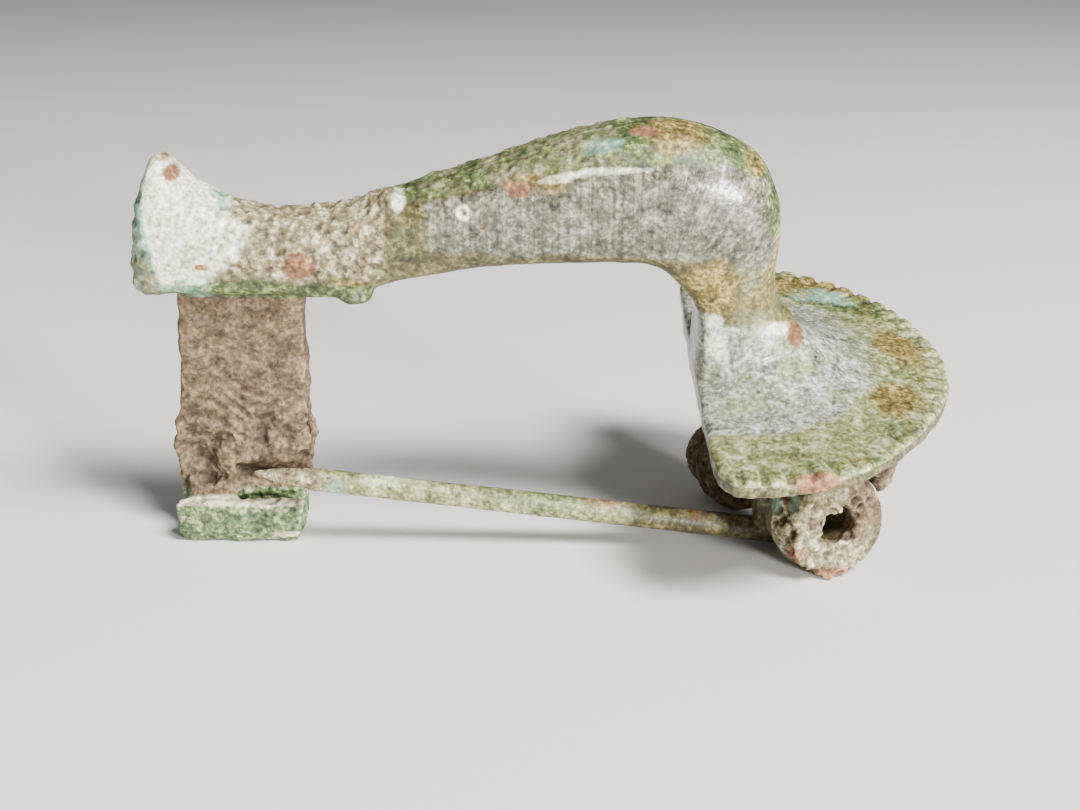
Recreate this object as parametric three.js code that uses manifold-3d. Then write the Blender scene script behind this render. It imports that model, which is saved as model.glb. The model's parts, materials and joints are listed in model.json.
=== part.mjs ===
// Roman knee brooch (fibula) with a half-round head plate, in millimetres, +Z up.
//
// The brooch stands on the turned-up foot of its catch plate and on its spring, and leans a little
// forwards, towards -Y. The origin is on the surface that it stands on, under the middle of the
// brooch. +X runs from the foot to the head plate.
//
// The casting and the pin are drawn in the casting's own frame: x along the brooch, y across it with
// y = 0 in its middle plane, and z up from the underside of the hook. That frame leans with them.

import * as THREE from "three";
import { mergeVertices } from "three/addons/utils/BufferGeometryUtils.js";
import Module from "manifold-3d";

const wasm = await Module();
wasm.setup();

// ---------------------------------------------------------------- driving dimensions

const LEAN = THREE.MathUtils.degToRad(11.9); // of the middle plane, from upright
const ORIGIN_X = 0.45; // the origin's place along the brooch, in the casting's frame
const ORIGIN_Y = 1.58; // how far the origin is in front of the foot of the middle plane
const CLEARANCE = 0.3; // between pieces that nearly touch
const WORN_FLAT = 0.08; // how much is worn off what touches the ground

// The bow, from the end of the foot to the collar of the neck. Each station joins a point of the
// underside to a point of the back, both in the middle plane, and says how wide the bow is there.
// flat is 0 where the underside is round and 1 where it is flat with crisp edges.
const BOW_STATIONS = [
  { under: [-18.75, 13.8], back: [-18.4, 17.4], halfWidth: 1.5, flat: 0.5 }, // end of the foot
  { under: [-18.3, 13.5], back: [-17.2, 20.0], halfWidth: 1.95, flat: 0.5 }, // raised tip
  { under: [-16.2, 13.45], back: [-15.4, 18.4], halfWidth: 1.8, flat: 0.5 },
  { under: [-12.8, 13.3], back: [-12.6, 17.2], halfWidth: 1.6, flat: 0.3 }, // slimmest
  { under: [-9.6, 13.1], back: [-9.4, 17.4], halfWidth: 1.65, flat: 0.2 },
  { under: [-6.2, 14.1], back: [-6.0, 18.4], halfWidth: 1.9, flat: 0.2 },
  { under: [-2.2, 14.85], back: [-2.0, 19.65], halfWidth: 2.3, flat: 0.2 },
  { under: [2.6, 15.1], back: [2.8, 21.15], halfWidth: 2.75, flat: 0.2 },
  { under: [5.2, 15.05], back: [6.6, 21.3], halfWidth: 2.9, flat: 0.3 }, // the knee
  { under: [6.35, 14.2], back: [9.9, 19.7], halfWidth: 2.8, flat: 0.5 },
  { under: [7.1, 13.2], back: [11.05, 16.9], halfWidth: 2.5, flat: 0.8 },
  { under: [7.35, 12.2], back: [10.95, 14.0], halfWidth: 2.25, flat: 1 }, // the neck
  { under: [7.35, 10.9], back: [11.3, 12.6], halfWidth: 2.25, flat: 1 },
  { under: [7.35, 9.8], back: [12.1, 11.75], halfWidth: 2.4, flat: 1 }, // the collar
];
const COLLAR = BOW_STATIONS.at(-1);
const BOW_RINGS = 48;
const BOW_SIDES = 26;
const BACK_SQUARENESS = 2.3; // of the upper half of a section: 2 is an ellipse, more is squarer
const ROUND_SQUARENESS = 2.4; // of a round underside
const FLAT_SQUARENESS = 9; // of a flat underside

// The head plate: a half-round plate whose straight edge is flush with the back of the neck. Its
// upper face sweeps up to the collar, like half of a trumpet's mouth.
const PLATE_BACK_X = 7.35;
const PLATE_CENTRE = [9.4, 0.25]; // x and y
const PLATE_REACH = 10.2; // from that centre, along the brooch
const PLATE_HALF_WIDTH = 10.95;
const PLATE_WEAR = 0.35; // how much the rim is worn down on one side of its front
const PLATE_WEAR_ANGLE = THREE.MathUtils.degToRad(-38);
const PLATE_WEAR_SPREAD = THREE.MathUtils.degToRad(17);
const PLATE_UNDERSIDE_Z = 8.45;
const PLATE_EDGE_THICKNESS = 0.8;
const PLATE_CORNER_SHARPNESS = 4.5; // of the two back corners: the higher, the less rounded
const NECK_CENTRE_X = 8.7;
const FLARE_REACH = 2.3; // how far out the sweep up to the collar falls to about a third
const FLARE_FALL = 1.15; // how steeply it ends: 1 is an even decay
const COLLAR_STEP = 0.35; // how far the collar stands above the sweep
const PLATE_ROOT_SHARES = [0.1, 0.6]; // how far up its edge the neck's own end reaches, back and front
const NICK_COUNT = 34; // short radial nicks along the curved edge
const NICK_ARC = THREE.MathUtils.degToRad(200); // the stretch of the edge that has them
const NICK_SLOPE = 0.2; // the width of each side of a nick, as a share of the way to the next
const NICK_LENGTH = 1.2;
const NICK_DEPTH = 0.18;
const PLATE_RINGS = 10;
const PLATE_RING_SPREAD = 0.9; // below 1, the rings are closer together towards the edge
const PLATE_BACK_COLUMNS = 22; // of the plate's mesh, where there are no nicks

// The catch plate and its hook.
const CATCH_WIDTH = 5.9; // at its top
const CATCH_SPREAD = 0.5; // how much wider it is at its foot
const CATCH_CENTRE_X = -13.98; // at its top
const CATCH_SWEEP = 1.05; // how far its foot stands out towards the end of the foot
const CATCH_THICKNESS = 1.2;
const CATCH_TOP_Z = 14.0;
const HOOK_LIP_Z = 2.4;
const HOOK_FRONT_Y = -2.5; // the front of the lip
const HOOK_WALL = 1.05;
const HOOK_LIP_WEAR = 0.15; // how far the lip's front edge is rounded off
const HOOK_FLOOR = 0.2; // from the back of the lip to where the hook's flat underside starts
const HOOK_RISE = 0.1; // of its underside, from that flat to the plate's front
const HOOK_HEEL = 0.2; // how high the corner under the plate's back is rounded off from
const HOOK_BEND_Z = 2.2; // where the plate starts to turn into the hook
const HOOK_CORNER = 0.35; // how much is worn off the two lower corners
const HOOK_CORNER_Z = 0.9;
const CATCH_BULGE = 0.55; // of the corroded edges, above the hook
const CATCH_BULGE_Z = 5.6;
const CATCH_BULGE_REACH = 1.3;
const CATCH_ROWS = 9;
const CATCH_COLUMNS = 6;
const CURVE_STEPS = 5; // of a small rounding

// The pierced lug that held the axis of the spring.
const LUG_THICKNESS = 3.2;
const AXIS_X = 12.7;
const AXIS_Z = 2.62;
const LUG_BOSS_RADIUS = 1.95;
const AXIS_HOLE_RADIUS = 0.95;
const LUG_BACK_X = 9.2;
const LUG_BEND = [10.75, 5]; // x and z of the corner that its back edge is rounded off from
const LUG_BEND_Z = 6.2; // where that rounding starts

// The chord is the length of wire that joins the two sides of the spring. The lug's front end is a
// hook that reaches down in front of it.
const CHORD_RADIUS = 0.6;
const CHORD_X = 15.9;
const CHORD_Z = 2.7;
const CHORD_HOOK_WALL = 0.65;
const CHORD_HOOK_FLARE = 0.45; // how much thicker the hook is where it meets the head plate
const CHORD_HOOK_Z = 3.1; // its lowest point
const CHORD_STEPS = 24;
// The chord's route. beyond is how far a point is past the lug and the pin, towards an end of the
// spring: less than 0 is towards the front. back is how far it is behind the straight stretch.
const CHORD_ROUTE = [
  { back: 1.2, beyond: -1.7, drop: 0 },
  { back: 0.2, beyond: -0.7, drop: 0 },
  { back: 0, beyond: 0, drop: 0 },
  { back: 0.2, beyond: 0.2, drop: 0 },
  { back: 2.2, beyond: 1.4, drop: 0.1 },
  { back: 4.6, beyond: 2.4, drop: 0.4 },
];

// The pin and the turn of wire that it springs from.
const WIRE = 1.25;
const TURN_RADIUS = 1.66; // to the middle of the wire
const PIN_TIP = [-13.9, 4.5]; // x and z of its point
const PIN_Y = -(LUG_THICKNESS / 2 + CLEARANCE + WIRE / 2);
const PIN_SIDES = 14;
const TURN_SEGMENTS = 26;
const PIN_ROOT = 0.3; // how far the shaft runs back into the turn
// Distances from the point and radii there: the shaft thins a little, then tapers to the point.
const PIN_TAPER = [
  { fromTip: 3.2, radius: 0.575 },
  { fromTip: 1.6, radius: 0.42 },
  { fromTip: 0.3, radius: 0.18 },
  { fromTip: 0, radius: 0.07 },
];

// The spring: wire wound round an iron axis that has rusted away, corroded to one crusted lump. It
// lies level on the ground, turned out of square with the brooch.
const SPRING_FRONT_RADIUS = 2.72;
const SPRING_REAR_RADIUS = 2.36;
const SPRING_TURN = THREE.MathUtils.degToRad(20.5); // of its axis, in plan
const SPRING_FRONT_Y = -6.25; // its two ends, in the casting's frame
const SPRING_REAR_Y = 5.6;
const GROOVE_DEPTH = 0.16; // between one turn and the next
const GROOVE_SHARPNESS = 8;
const SPRING_END_ROUNDING = 0.3;
const SPRING_SIDES = 32;
const STEPS_PER_TURN = 4;

// ---------------------------------------------------------------- making and joining solids

// A three.js geometry as a manifold-3d solid.
function solidOf(geometry) {
  const bare = geometry.clone();
  bare.deleteAttribute("normal");
  bare.deleteAttribute("uv");
  const merged = mergeVertices(bare, 1e-4);
  return new wasm.Manifold(
    new wasm.Mesh({
      numProp: 3,
      vertProperties: new Float32Array(merged.attributes.position.array),
      triVerts: new Uint32Array(merged.index.array),
    }),
  );
}

// A manifold-3d solid as a three.js geometry.
function geometryOf(solid) {
  const { vertProperties, triVerts } = solid.getMesh();
  const geometry = new THREE.BufferGeometry();
  geometry.setAttribute("position", new THREE.BufferAttribute(vertProperties, 3));
  geometry.setIndex(new THREE.BufferAttribute(triVerts, 1));
  geometry.computeVertexNormals();
  return geometry;
}

// A closed skin over rings of points, which all have the same count, with a fan over each end.
function skinOver(rings) {
  const sides = rings[0].length;
  const points = rings.flat();
  const faces = [];
  for (let r = 0; r + 1 < rings.length; r++) {
    for (let s = 0; s < sides; s++) {
      const a = r * sides + s;
      const b = r * sides + ((s + 1) % sides);
      faces.push(a, b, b + sides, a, b + sides, a + sides);
    }
  }
  for (const [ring, first, flip] of [
    [rings[0], 0, true],
    [rings.at(-1), (rings.length - 1) * sides, false],
  ]) {
    const middle = new THREE.Vector3();
    ring.forEach((p) => middle.addScaledVector(p, 1 / sides));
    points.push(middle);
    for (let s = 0; s < sides; s++) {
      const edge = [first + s, first + ((s + 1) % sides)];
      faces.push(...(flip ? edge.reverse() : edge), points.length - 1);
    }
  }
  const geometry = new THREE.BufferGeometry().setFromPoints(points);
  geometry.setIndex(faces);
  return geometry;
}

// A flat outline in the x-z plane, given thickness along y about y = middle.
function slab(shape, thickness, middle = 0) {
  const geometry = new THREE.ExtrudeGeometry(shape, {
    depth: thickness,
    bevelEnabled: false,
    curveSegments: 12,
  });
  geometry.translate(0, 0, -thickness / 2);
  geometry.rotateX(Math.PI / 2);
  geometry.translate(0, middle, 0);
  return geometry;
}

// ---------------------------------------------------------------- the bow

// A smooth curve through one value of the stations, for t from 0 at the foot to 1 at the collar.
function alongBow(pick) {
  const points = BOW_STATIONS.map((station) => new THREE.Vector3(...pick(station)));
  const curve = new THREE.CatmullRomCurve3(points, false, "centripetal");
  return (t) => curve.getPoint(t);
}

// One cross-section. It is a rounded oval, and where flat is 1 its underside is a flat face.
function bowRing(under, back, halfWidth, flat) {
  const middle = under.clone().add(back).multiplyScalar(0.5);
  const up = back.clone().sub(under).multiplyScalar(0.5);
  const ring = [];
  for (let s = 0; s < BOW_SIDES; s++) {
    const angle = (2 * Math.PI * s) / BOW_SIDES;
    const [c, n] = [Math.cos(angle), Math.sin(angle)];
    const below = THREE.MathUtils.lerp(ROUND_SQUARENESS, FLAT_SQUARENESS, flat);
    const squareness = n < 0 ? below : BACK_SQUARENESS;
    const size = (Math.abs(c) ** squareness + Math.abs(n) ** squareness) ** (-1 / squareness);
    const point = middle.clone().addScaledVector(up, n * size);
    point.y += c * size * halfWidth;
    ring.push(point);
  }
  return ring;
}

function bow() {
  const under = alongBow(({ under: [x, z] }) => [x, 0, z]);
  const back = alongBow(({ back: [x, z] }) => [x, 0, z]);
  const form = alongBow(({ halfWidth, flat }) => [halfWidth, flat, 0]);
  const rings = [];
  for (let r = 0; r <= BOW_RINGS; r++) {
    const t = r / BOW_RINGS;
    const { x: halfWidth, y: flat } = form(t);
    rings.push(bowRing(under(t), back(t), halfWidth, flat));
  }
  // Below the collar the neck runs on, a little smaller, into the thickness of the head plate.
  const [backRise, frontRise] = PLATE_ROOT_SHARES.map((share) => PLATE_EDGE_THICKNESS * share);
  const root = bowRing(
    new THREE.Vector3(PLATE_BACK_X, 0, PLATE_UNDERSIDE_Z + backRise),
    new THREE.Vector3(COLLAR.back[0] - COLLAR_STEP, 0, PLATE_UNDERSIDE_Z + frontRise),
    COLLAR.halfWidth - COLLAR_STEP,
    COLLAR.flat,
  );
  rings.push(root);
  return solidOf(skinOver(rings));
}

// ---------------------------------------------------------------- the head plate

// How far the plate reaches from the neck's centre in the direction of an angle.
function plateReach(angle) {
  const [c, s] = [Math.cos(angle), Math.sin(angle)];
  const offset = [(PLATE_CENTRE[0] - NECK_CENTRE_X) / PLATE_REACH, PLATE_CENTRE[1] / PLATE_HALF_WIDTH];
  const heading = [c / PLATE_REACH, s / PLATE_HALF_WIDTH];
  const square = heading[0] ** 2 + heading[1] ** 2;
  const inline = heading[0] * offset[0] + heading[1] * offset[1];
  const inside = 1 - offset[0] ** 2 - offset[1] ** 2;
  const ellipse = (inline + Math.sqrt(inline ** 2 + square * inside)) / square;
  const fromWear = (Math.atan2(s, c) - PLATE_WEAR_ANGLE) / PLATE_WEAR_SPREAD;
  const round = ellipse - PLATE_WEAR * Math.exp(-(fromWear ** 2));
  if (c >= 0) return round;
  const straight = (PLATE_BACK_X - NECK_CENTRE_X) / c;
  const blend = PLATE_CORNER_SHARPNESS;
  return (round ** -blend + straight ** -blend) ** (-1 / blend);
}

// The height of the sweep above the plate's edge, at a distance out along an angle.
function sweepHeight(angle, distance) {
  const c = Math.cos(angle);
  const depth = COLLAR.back[0] - NECK_CENTRE_X;
  const along = Math.max(c, 0) / depth; // behind the neck's centre the neck has straight sides
  const neck = 1 / Math.hypot(along, Math.sin(angle) / COLLAR.halfWidth);
  const rim = PLATE_UNDERSIDE_Z + PLATE_EDGE_THICKNESS;
  const x = Math.max(PLATE_BACK_X, NECK_CENTRE_X + c * Math.min(neck, depth));
  const across = (x - PLATE_BACK_X) / (COLLAR.back[0] - PLATE_BACK_X);
  const collar = THREE.MathUtils.lerp(COLLAR.under[1], COLLAR.back[1], across);
  const top = collar - COLLAR_STEP - rim;
  if (distance <= neck) return top;
  return top * Math.exp(-(((distance - neck) / FLARE_REACH) ** FLARE_FALL));
}

// The columns of the plate's mesh: their angles, and how deep the edge is cut there. Each nick has
// three, for its two edges and its bottom.
function plateColumns() {
  const columns = [];
  const room = NICK_ARC / NICK_COUNT;
  for (let n = 0; n < NICK_COUNT; n++) {
    for (const side of [-NICK_SLOPE, 0, NICK_SLOPE]) {
      const angle = (n + 0.5 + side) * room - NICK_ARC / 2;
      columns.push({ angle, cut: side === 0 ? NICK_DEPTH : 0 });
    }
  }
  const rest = 2 * Math.PI - NICK_ARC;
  for (let b = 0; b < PLATE_BACK_COLUMNS; b++) {
    columns.push({ angle: NICK_ARC / 2 + ((b + 0.5) / PLATE_BACK_COLUMNS) * rest, cut: 0 });
  }
  return columns;
}

// One ring of the plate's upper face. The last ring is the edge, and the one before it is where
// the nicks start.
function plateRing(r) {
  const isEdge = r === PLATE_RINGS;
  return plateColumns().map(({ angle, cut }) => {
    const inner = plateReach(angle) - NICK_LENGTH;
    const share = (r / (PLATE_RINGS - 1)) ** PLATE_RING_SPREAD;
    const distance = isEdge ? inner + NICK_LENGTH : inner * share;
    const x = NECK_CENTRE_X + Math.cos(angle) * distance;
    const y = Math.sin(angle) * distance;
    const rim = PLATE_UNDERSIDE_Z + PLATE_EDGE_THICKNESS - (isEdge ? cut : 0);
    return new THREE.Vector3(x, y, rim + sweepHeight(angle, distance));
  });
}

function headPlate() {
  const rings = [];
  for (let r = PLATE_RINGS; r > 0; r--) rings.push(plateRing(r));
  const underside = rings[0].map(({ x, y }) => new THREE.Vector3(x, y, PLATE_UNDERSIDE_Z));
  return solidOf(skinOver([underside, ...rings]));
}

// ---------------------------------------------------------------- the catch plate and the lug

// The catch plate's section across the brooch, with its foot turned up in front as a hook. Its
// x is the brooch's y, and its y is the brooch's z.
function catchSection() {
  const half = CATCH_THICKNESS / 2;
  const lipBack = HOOK_FRONT_Y + HOOK_WALL;
  const flatStart = lipBack - HOOK_FLOOR;
  const shape = new THREE.Shape();
  shape.moveTo(half, CATCH_TOP_Z);
  for (let i = 0; i <= CATCH_ROWS; i++) {
    shape.lineTo(-half, THREE.MathUtils.lerp(CATCH_TOP_Z, HOOK_BEND_Z, i / CATCH_ROWS));
  }
  shape.quadraticCurveTo(-half, HOOK_WALL, (lipBack - half) / 2, HOOK_WALL);
  shape.quadraticCurveTo(lipBack, HOOK_WALL, lipBack, HOOK_LIP_Z);
  shape.lineTo(HOOK_FRONT_Y + HOOK_LIP_WEAR, HOOK_LIP_Z);
  shape.quadraticCurveTo(HOOK_FRONT_Y - HOOK_LIP_WEAR, 0, flatStart, 0);
  shape.lineTo(-half, HOOK_RISE);
  shape.quadraticCurveTo(half, HOOK_HEEL, half, HOOK_BEND_Z);
  for (let i = 1; i < CATCH_ROWS; i++) {
    shape.lineTo(half, THREE.MathUtils.lerp(HOOK_BEND_Z, CATCH_TOP_Z, i / CATCH_ROWS));
  }
  shape.closePath();
  return shape;
}

// How wide the catch plate is at a height.
function catchWidth(z) {
  const bulge = Math.exp(-(((z - CATCH_BULGE_Z) / CATCH_BULGE_REACH) ** 2));
  const corner = Math.max(0, 1 - z / HOOK_CORNER_Z) ** 2;
  const spread = CATCH_SPREAD * (1 - z / CATCH_TOP_Z);
  return CATCH_WIDTH + spread + 2 * CATCH_BULGE * bulge - 2 * HOOK_CORNER * corner;
}

function catchPlate() {
  const geometry = new THREE.ExtrudeGeometry(catchSection(), {
    depth: 1,
    steps: CATCH_COLUMNS,
    bevelEnabled: false,
    curveSegments: CURVE_STEPS,
  });
  const place = geometry.attributes.position;
  for (let i = 0; i < place.count; i++) {
    const [y, z, share] = [place.getX(i), place.getY(i), place.getZ(i) - 0.5];
    const middle = CATCH_CENTRE_X - CATCH_SWEEP * (1 - z / CATCH_TOP_Z);
    place.setXYZ(i, middle + share * catchWidth(z), y, z);
  }
  return solidOf(geometry);
}

function lug() {
  const top = PLATE_UNDERSIDE_Z + PLATE_EDGE_THICKNESS / 2;
  const slot = CHORD_RADIUS + CLEARANCE + WORN_FLAT; // from the middle of the chord to the lug
  const roof = CHORD_Z + slot + WORN_FLAT;
  const hookInside = CHORD_X + slot;
  const hookOutside = hookInside + CHORD_HOOK_WALL;
  const shape = new THREE.Shape();
  shape.moveTo(LUG_BACK_X, top);
  shape.lineTo(LUG_BACK_X, LUG_BEND_Z);
  shape.quadraticCurveTo(...LUG_BEND, AXIS_X - LUG_BOSS_RADIUS, AXIS_Z);
  shape.absarc(AXIS_X, AXIS_Z, LUG_BOSS_RADIUS, Math.PI, 2 * Math.PI, false);
  shape.quadraticCurveTo(AXIS_X + LUG_BOSS_RADIUS, roof, CHORD_X, roof);
  shape.quadraticCurveTo(hookInside, roof, hookInside, CHORD_HOOK_Z);
  shape.lineTo(hookOutside, CHORD_HOOK_Z);
  shape.quadraticCurveTo(hookOutside, (roof + top) / 2, hookOutside + CHORD_HOOK_FLARE, top);
  shape.closePath();
  const hole = new THREE.Path();
  hole.absarc(AXIS_X, AXIS_Z, AXIS_HOLE_RADIUS, 0, 2 * Math.PI, true);
  shape.holes.push(hole);
  return solidOf(slab(shape, LUG_THICKNESS));
}

// ---------------------------------------------------------------- the pin

function pin() {
  // The shaft leaves the turn at a tangent, below the axis.
  const toTip = new THREE.Vector2(PIN_TIP[0] - AXIS_X, PIN_TIP[1] - AXIS_Z);
  const tangent = Math.atan2(toTip.y, -toTip.x) + Math.asin(TURN_RADIUS / toTip.length());
  const start = new THREE.Vector3(
    AXIS_X - TURN_RADIUS * Math.sin(tangent),
    PIN_Y,
    AXIS_Z - TURN_RADIUS * Math.cos(tangent),
  );
  const along = new THREE.Vector3(PIN_TIP[0], PIN_Y, PIN_TIP[1]).sub(start);
  const length = along.length();
  along.normalize();
  const side = new THREE.Vector3(0, 1, 0);
  const up = new THREE.Vector3().crossVectors(along, side).normalize();
  const stations = [{ fromTip: length + PIN_ROOT, radius: WIRE / 2 }, ...PIN_TAPER];
  const rings = stations.map(({ fromTip, radius }) => {
    const middle = start.clone().addScaledVector(along, length - fromTip);
    return Array.from({ length: PIN_SIDES }, (_, s) => {
      const angle = (2 * Math.PI * s) / PIN_SIDES;
      const point = middle.clone().addScaledVector(side, Math.cos(angle) * radius);
      return point.addScaledVector(up, Math.sin(angle) * radius);
    });
  });
  const turn = new THREE.TorusGeometry(TURN_RADIUS, WIRE / 2, PIN_SIDES, TURN_SEGMENTS);
  turn.rotateX(Math.PI / 2);
  turn.translate(AXIS_X, PIN_Y, AXIS_Z);
  return solidOf(skinOver(rings)).add(solidOf(turn));
}

// ---------------------------------------------------------------- the frames

// Places something drawn in the casting's frame on the ground.
function leaning() {
  const group = new THREE.Group();
  group.rotation.x = LEAN;
  group.position.set(-ORIGIN_X, ORIGIN_Y, hookDrop());
  group.updateMatrixWorld(true);
  return group;
}

// How far the casting's frame is lifted, so that the hook's worn underside is on the ground.
function hookDrop() {
  const contactY = HOOK_FRONT_Y + HOOK_WALL - HOOK_FLOOR;
  return -contactY * Math.sin(LEAN) - WORN_FLAT;
}

// What is above the ground, of a solid that is already in its place.
function aboveGround(solid) {
  const size = 80; // more than the brooch
  const block = new THREE.BoxGeometry(size, size, size);
  block.translate(0, 0, -size / 2);
  return solid.subtract(solidOf(block));
}

const frame = leaning();
const leanMatrix = frame.matrixWorld.toArray();

// ---------------------------------------------------------------- the spring

// A point of the casting's frame, on the ground.
function placed(x, y, z) {
  return new THREE.Vector3(x, y, z).applyMatrix4(frame.matrixWorld);
}

// The y of the ground's frame for a y of the casting's frame, at the height of the spring's axis.
function springStation(y) {
  return placed(AXIS_X, y, AXIS_Z).y;
}

function springAxisX(y) {
  const pinPlace = placed(AXIS_X, PIN_Y, AXIS_Z);
  return pinPlace.x - (y - pinPlace.y) * Math.tan(SPRING_TURN);
}

// One side of the spring: its turns, from one y of the casting's frame to another.
function springSide(fromY, toY, radius) {
  const [from, to] = [springStation(fromY), springStation(toY)];
  const length = Math.abs(to - from) / Math.cos(SPRING_TURN);
  const turns = Math.round(length / WIRE);
  const steps = turns * STEPS_PER_TURN;
  const profile = [];
  for (let i = 0; i <= steps; i++) {
    const share = i / steps;
    const groove = GROOVE_DEPTH * Math.cos(Math.PI * share * turns) ** GROOVE_SHARPNESS;
    const rounding = i === 0 || i === steps ? SPRING_END_ROUNDING : 0;
    profile.push(new THREE.Vector2(radius - groove - rounding, share * length));
  }
  profile.push(new THREE.Vector2(AXIS_HOLE_RADIUS, length));
  profile.push(new THREE.Vector2(AXIS_HOLE_RADIUS, 0));
  profile.push(profile[0].clone());
  const side = new THREE.LatheGeometry(profile, SPRING_SIDES);
  side.rotateZ(to > from ? SPRING_TURN : Math.PI + SPRING_TURN);
  side.translate(springAxisX(from), from, radius - WORN_FLAT);
  return solidOf(side);
}

function spring() {
  // Both sides start inside the room that the pin's turn and the lug need, and are cut back from it.
  const front = springSide(PIN_Y + WIRE, SPRING_FRONT_Y, SPRING_FRONT_RADIUS);
  const rear = springSide(-WIRE, SPRING_REAR_Y, SPRING_REAR_RADIUS);
  const [roomFront, roomRear] = [PIN_Y - WIRE / 2 - CLEARANCE, LUG_THICKNESS / 2 + CLEARANCE];
  const reach = 3 * SPRING_FRONT_RADIUS;
  const room = new THREE.BoxGeometry(2 * reach, roomRear - roomFront, 2 * reach);
  room.translate(AXIS_X, (roomRear + roomFront) / 2, AXIS_Z);
  const cleared = front.add(rear).subtract(solidOf(room).transform(leanMatrix));
  return aboveGround(cleared.add(chord(roomFront, roomRear)));
}

// The chord, from inside the front side of the spring to inside its rear side.
function chord(roomFront, roomRear) {
  const route = CHORD_ROUTE.map(({ back, beyond, drop }) => {
    const y = beyond < 0 ? roomFront + beyond : beyond > 0 ? roomRear + beyond : PIN_Y;
    return placed(CHORD_X - back, y, CHORD_Z - drop);
  });
  const section = new THREE.Shape();
  section.absarc(0, 0, CHORD_RADIUS, 0, 2 * Math.PI, false);
  return solidOf(
    new THREE.ExtrudeGeometry(section, {
      extrudePath: new THREE.CatmullRomCurve3(route),
      steps: CHORD_STEPS,
      curveSegments: CURVE_STEPS,
    }),
  );
}

// ---------------------------------------------------------------- the brooch

function piece(name, solid, color, roughness, metalness) {
  const material = new THREE.MeshStandardMaterial({ color, roughness, metalness });
  const mesh = new THREE.Mesh(geometryOf(solid), material);
  mesh.name = name;
  return mesh;
}

const casting = bow().add(headPlate()).add(catchPlate()).add(lug()).transform(leanMatrix);

const brooch = new THREE.Group();
brooch.name = "knee_brooch";
brooch.add(piece("casting", aboveGround(casting), 0x7f8460, 0.5, 0.6));
brooch.add(piece("spring", spring(), 0x9b8767, 0.9, 0.1));
brooch.add(piece("pin", pin().transform(leanMatrix), 0x6c6f5a, 0.6, 0.5));

export default brooch;
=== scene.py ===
# %% [markdown]
# # A Roman knee brooch
#
# A knee brooch is a safety pin of cast bronze. The bow bends like a knee over the folds of a cloak,
# a half-round plate at its head covers the spring, and the pin springs shut behind a hooked catch
# plate under its foot. This one lay in the ground for some 1,800 years. Nearly all that the eye
# sees is what the bronze has turned into: smooth olive and grey patina where the metal was well
# polished, chalky green crust where it corroded fast, and earth where nothing rubbed it off.
#
# The solids come from the CAD model. This script gives them the surface: a finer mesh with crust,
# pits, nicks and windings, and a finish for each piece.

import json
import math

import bmesh
import bpy
import numpy as np
from mathutils import Matrix, Vector


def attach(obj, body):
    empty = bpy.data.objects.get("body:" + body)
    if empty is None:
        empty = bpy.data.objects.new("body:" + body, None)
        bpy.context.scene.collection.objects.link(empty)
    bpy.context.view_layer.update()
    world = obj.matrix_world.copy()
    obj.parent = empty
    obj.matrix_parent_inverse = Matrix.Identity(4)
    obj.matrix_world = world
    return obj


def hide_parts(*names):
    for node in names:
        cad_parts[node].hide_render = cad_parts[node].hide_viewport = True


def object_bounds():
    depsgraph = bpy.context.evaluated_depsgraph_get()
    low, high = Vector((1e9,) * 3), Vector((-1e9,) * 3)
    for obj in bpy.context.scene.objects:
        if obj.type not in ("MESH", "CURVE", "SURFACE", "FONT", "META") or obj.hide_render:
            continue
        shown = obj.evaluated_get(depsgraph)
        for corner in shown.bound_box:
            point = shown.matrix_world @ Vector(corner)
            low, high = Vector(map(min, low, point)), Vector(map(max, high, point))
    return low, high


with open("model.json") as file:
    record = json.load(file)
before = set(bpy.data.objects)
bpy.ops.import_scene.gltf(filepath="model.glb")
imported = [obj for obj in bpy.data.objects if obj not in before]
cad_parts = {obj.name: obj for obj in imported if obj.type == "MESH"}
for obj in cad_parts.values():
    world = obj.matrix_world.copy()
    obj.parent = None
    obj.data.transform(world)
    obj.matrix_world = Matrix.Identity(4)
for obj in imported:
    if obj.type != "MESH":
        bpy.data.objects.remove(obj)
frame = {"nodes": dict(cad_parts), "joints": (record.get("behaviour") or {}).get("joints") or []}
cad_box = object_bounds()

# %% [markdown]
# ## Coordinates that follow the brooch
#
# The brooch leans to one side as it stands, so "up the catch plate" or "across the bow" aren't up
# and across in the scene. Working in the scene's own axes would make every place on the brooch a
# sloping one. It could be modelled upright and turned at the end, but pieces have to sit at the
# origin, unturned. So there is one matrix between the two: in brooch coordinates, x runs along the
# brooch, y across it from its middle plane, and z up from the underside of the hook, all in
# millimetres. The pin's hinge gives it, because its axis runs straight across the brooch.

# %% Brooch coordinates
MM = 1000  # in a metre, the scene's unit
hinge = frame["joints"][0]
hinge_mm = Vector(hinge["pos_m"]) * MM
hinge_place = Vector((12.7, -2.525, 2.62))  # the same place in brooch coordinates
lean = math.atan2(hinge["axis"][2], hinge["axis"][1])
to_brooch = (
    Matrix.Translation(hinge_place)
    @ Matrix.Rotation(-lean, 4, "X")
    @ Matrix.Scale(MM, 4)
    @ Matrix.Translation(-Vector(hinge["pos_m"]))
)
to_frame = to_brooch.inverted()
print(f"the brooch leans {math.degrees(lean):.1f} degrees")

# %% [markdown]
# ## The camera
#
# A portrait lens close to a small thing is how a jeweller's catalogue shows it. The camera stands
# a little above the brooch and looks down on it by 18.5 degrees, level and square to its length.

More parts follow.
